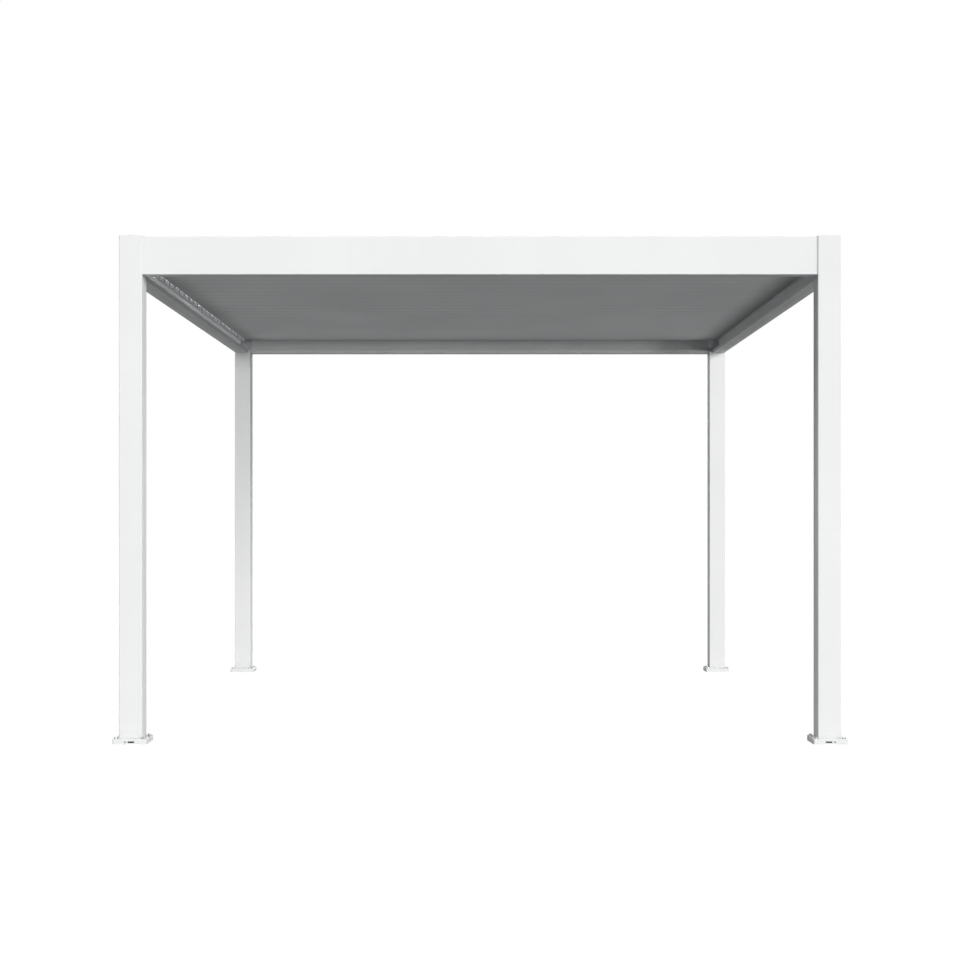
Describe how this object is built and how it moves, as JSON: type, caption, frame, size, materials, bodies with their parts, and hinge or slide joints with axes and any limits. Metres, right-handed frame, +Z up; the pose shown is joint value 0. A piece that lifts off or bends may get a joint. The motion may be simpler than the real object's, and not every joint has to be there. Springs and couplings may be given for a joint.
{
  "type": "louvred patio cover",
  "caption": "Free-standing aluminium patio cover: square posts on anchored feet, gutter beams and a roof of tilting louvres linked by a drive bar.",
  "frame": {"origin": "on the ground at the middle of the plan, between the four feet", "axes": "+Z up, front towards -Y, louvres run along X, +X to the right seen from the front"},
  "size_m": [3.655, 4.055, 2.536],
  "materials": {
    "frame_coating": "white powder coat, fine satin texture",
    "foot_coating": "white powder coat on a casting",
    "louvre_coating": "white powder coat, satin",
    "bare_aluminium": "mill finish"
  },
  "bodies": {
    "frame": {"post_front_left": "frame_coating", "post_front_right": "frame_coating", "post_rear_left": "frame_coating", "post_rear_right": "frame_coating", "foot_front_left": "foot_coating", "foot_front_right": "foot_coating", "foot_rear_left": "foot_coating", "foot_rear_right": "foot_coating", "post_caps": "frame_coating", "corner_brackets": "bare_aluminium", "front_beam": "frame_coating", "rear_beam": "frame_coating", "left_beam": "frame_coating", "right_beam": "frame_coating", "gutters": "frame_coating", "front_flashing": "frame_coating", "rear_flashing": "frame_coating", "bearing_strips": "bare_aluminium"},
    "louvre_01": {"louvre_01": "louvre_coating"},
    "louvre_02": {"louvre_02": "louvre_coating"},
    "louvre_03": {"louvre_03": "louvre_coating"},
    "louvre_04": {"louvre_04": "louvre_coating"},
    "louvre_05": {"louvre_05": "louvre_coating"},
    "louvre_06": {"louvre_06": "louvre_coating"},
    "louvre_07": {"louvre_07": "louvre_coating"},
    "louvre_08": {"louvre_08": "louvre_coating"},
    "louvre_09": {"louvre_09": "louvre_coating"},
    "louvre_10": {"louvre_10": "louvre_coating"},
    "louvre_11": {"louvre_11": "louvre_coating"},
    "louvre_12": {"louvre_12": "louvre_coating"},
    "louvre_13": {"louvre_13": "louvre_coating"},
    "louvre_14": {"louvre_14": "louvre_coating"},
    "louvre_15": {"louvre_15": "louvre_coating"},
    "louvre_16": {"louvre_16": "louvre_coating"},
    "louvre_17": {"louvre_17": "louvre_coating"},
    "louvre_18": {"louvre_18": "louvre_coating"},
    "louvre_19": {"louvre_19": "louvre_coating"},
    "louvre_20": {"louvre_20": "louvre_coating"},
    "louvre_21": {"louvre_21": "louvre_coating"},
    "louvre_22": {"louvre_22": "louvre_coating"},
    "louvre_23": {"louvre_23": "louvre_coating"},
    "louvre_24": {"louvre_24": "louvre_coating"},
    "louvre_25": {"louvre_25": "louvre_coating"},
    "drive_bar": {"drive_bar": "bare_aluminium"}
  },
  "joints": [
    {"name": "louvre_01_tilt", "type": "hinge", "parent": "frame", "child": "louvre_01", "pos_m": [0, -1.824, 2.456], "axis": [-1, 0, 0], "range_deg": [0, 90]},
    {"name": "louvre_02_tilt", "type": "hinge", "parent": "frame", "child": "louvre_02", "pos_m": [0, -1.672, 2.456], "axis": [-1, 0, 0], "range_deg": [0, 90]},
    {"name": "louvre_03_tilt", "type": "hinge", "parent": "frame", "child": "louvre_03", "pos_m": [0, -1.52, 2.456], "axis": [-1, 0, 0], "range_deg": [0, 90]},
    {"name": "louvre_04_tilt", "type": "hinge", "parent": "frame", "child": "louvre_04", "pos_m": [0, -1.368, 2.456], "axis": [-1, 0, 0], "range_deg": [0, 90]},
    {"name": "louvre_05_tilt", "type": "hinge", "parent": "frame", "child": "louvre_05", "pos_m": [0, -1.216, 2.456], "axis": [-1, 0, 0], "range_deg": [0, 90]},
    {"name": "louvre_06_tilt", "type": "hinge", "parent": "frame", "child": "louvre_06", "pos_m": [0, -1.064, 2.456], "axis": [-1, 0, 0], "range_deg": [0, 90]},
    {"name": "louvre_07_tilt", "type": "hinge", "parent": "frame", "child": "louvre_07", "pos_m": [0, -0.912, 2.456], "axis": [-1, 0, 0], "range_deg": [0, 90]},
    {"name": "louvre_08_tilt", "type": "hinge", "parent": "frame", "child": "louvre_08", "pos_m": [0, -0.76, 2.456], "axis": [-1, 0, 0], "range_deg": [0, 90]},
    {"name": "louvre_09_tilt", "type": "hinge", "parent": "frame", "child": "louvre_09", "pos_m": [0, -0.608, 2.456], "axis": [-1, 0, 0], "range_deg": [0, 90]},
    {"name": "louvre_10_tilt", "type": "hinge", "parent": "frame", "child": "louvre_10", "pos_m": [0, -0.456, 2.456], "axis": [-1, 0, 0], "range_deg": [0, 90]},
    {"name": "louvre_11_tilt", "type": "hinge", "parent": "frame", "child": "louvre_11", "pos_m": [0, -0.304, 2.456], "axis": [-1, 0, 0], "range_deg": [0, 90]},
    {"name": "louvre_12_tilt", "type": "hinge", "parent": "frame", "child": "louvre_12", "pos_m": [0, -0.152, 2.456], "axis": [-1, 0, 0], "range_deg": [0, 90]},
    {"name": "louvre_13_tilt", "type": "hinge", "parent": "frame", "child": "louvre_13", "pos_m": [0, 0, 2.456], "axis": [-1, 0, 0], "range_deg": [0, 90]},
    {"name": "louvre_14_tilt", "type": "hinge", "parent": "frame", "child": "louvre_14", "pos_m": [0, 0.152, 2.456], "axis": [-1, 0, 0], "range_deg": [0, 90]},
    {"name": "louvre_15_tilt", "type": "hinge", "parent": "frame", "child": "louvre_15", "pos_m": [0, 0.304, 2.456], "axis": [-1, 0, 0], "range_deg": [0, 90]},
    {"name": "louvre_16_tilt", "type": "hinge", "parent": "frame", "child": "louvre_16", "pos_m": [0, 0.456, 2.456], "axis": [-1, 0, 0], "range_deg": [0, 90]},
    {"name": "louvre_17_tilt", "type": "hinge", "parent": "frame", "child": "louvre_17", "pos_m": [0, 0.608, 2.456], "axis": [-1, 0, 0], "range_deg": [0, 90]},
    {"name": "louvre_18_tilt", "type": "hinge", "parent": "frame", "child": "louvre_18", "pos_m": [0, 0.76, 2.456], "axis": [-1, 0, 0], "range_deg": [0, 90]},
    {"name": "louvre_19_tilt", "type": "hinge", "parent": "frame", "child": "louvre_19", "pos_m": [0, 0.912, 2.456], "axis": [-1, 0, 0], "range_deg": [0, 90]},
    {"name": "louvre_20_tilt", "type": "hinge", "parent": "frame", "child": "louvre_20", "pos_m": [0, 1.064, 2.456], "axis": [-1, 0, 0], "range_deg": [0, 90]},
    {"name": "louvre_21_tilt", "type": "hinge", "parent": "frame", "child": "louvre_21", "pos_m": [0, 1.216, 2.456], "axis": [-1, 0, 0], "range_deg": [0, 90]},
    {"name": "louvre_22_tilt", "type": "hinge", "parent": "frame", "child": "louvre_22", "pos_m": [0, 1.368, 2.456], "axis": [-1, 0, 0], "range_deg": [0, 90]},
    {"name": "louvre_23_tilt", "type": "hinge", "parent": "frame", "child": "louvre_23", "pos_m": [0, 1.52, 2.456], "axis": [-1, 0, 0], "range_deg": [0, 90]},
    {"name": "louvre_24_tilt", "type": "hinge", "parent": "frame", "child": "louvre_24", "pos_m": [0, 1.672, 2.456], "axis": [-1, 0, 0], "range_deg": [0, 90]},
    {"name": "louvre_25_tilt", "type": "hinge", "parent": "frame", "child": "louvre_25", "pos_m": [0, 1.824, 2.456], "axis": [-1, 0, 0], "range_deg": [0, 90]},
    {"name": "drive_bar_link", "type": "hinge", "parent": "louvre_13", "child": "drive_bar", "pos_m": [-1.7328, 0.03182, 2.42418], "axis": [-1, 0, 0], "range_deg": [-90, 0]}
  ],
  "couplings": [
    {"joint": "louvre_01_tilt", "follows": "louvre_13_tilt", "ratio": 1},
    {"joint": "louvre_02_tilt", "follows": "louvre_13_tilt", "ratio": 1},
    {"joint": "louvre_03_tilt", "follows": "louvre_13_tilt", "ratio": 1},
    {"joint": "louvre_04_tilt", "follows": "louvre_13_tilt", "ratio": 1},
    {"joint": "louvre_05_tilt", "follows": "louvre_13_tilt", "ratio": 1},
    {"joint": "louvre_06_tilt", "follows": "louvre_13_tilt", "ratio": 1},
    {"joint": "louvre_07_tilt", "follows": "louvre_13_tilt", "ratio": 1},
    {"joint": "louvre_08_tilt", "follows": "louvre_13_tilt", "ratio": 1},
    {"joint": "louvre_09_tilt", "follows": "louvre_13_tilt", "ratio": 1},
    {"joint": "louvre_10_tilt", "follows": "louvre_13_tilt", "ratio": 1},
    {"joint": "louvre_11_tilt", "follows": "louvre_13_tilt", "ratio": 1},
    {"joint": "louvre_12_tilt", "follows": "louvre_13_tilt", "ratio": 1},
    {"joint": "louvre_14_tilt", "follows": "louvre_13_tilt", "ratio": 1},
    {"joint": "louvre_15_tilt", "follows": "louvre_13_tilt", "ratio": 1},
    {"joint": "louvre_16_tilt", "follows": "louvre_13_tilt", "ratio": 1},
    {"joint": "louvre_17_tilt", "follows": "louvre_13_tilt", "ratio": 1},
    {"joint": "louvre_18_tilt", "follows": "louvre_13_tilt", "ratio": 1},
    {"joint": "louvre_19_tilt", "follows": "louvre_13_tilt", "ratio": 1},
    {"joint": "louvre_20_tilt", "follows": "louvre_13_tilt", "ratio": 1},
    {"joint": "louvre_21_tilt", "follows": "louvre_13_tilt", "ratio": 1},
    {"joint": "louvre_22_tilt", "follows": "louvre_13_tilt", "ratio": 1},
    {"joint": "louvre_23_tilt", "follows": "louvre_13_tilt", "ratio": 1},
    {"joint": "louvre_24_tilt", "follows": "louvre_13_tilt", "ratio": 1},
    {"joint": "louvre_25_tilt", "follows": "louvre_13_tilt", "ratio": 1},
    {"joint": "drive_bar_link", "follows": "louvre_13_tilt", "ratio": -1}
  ]
}
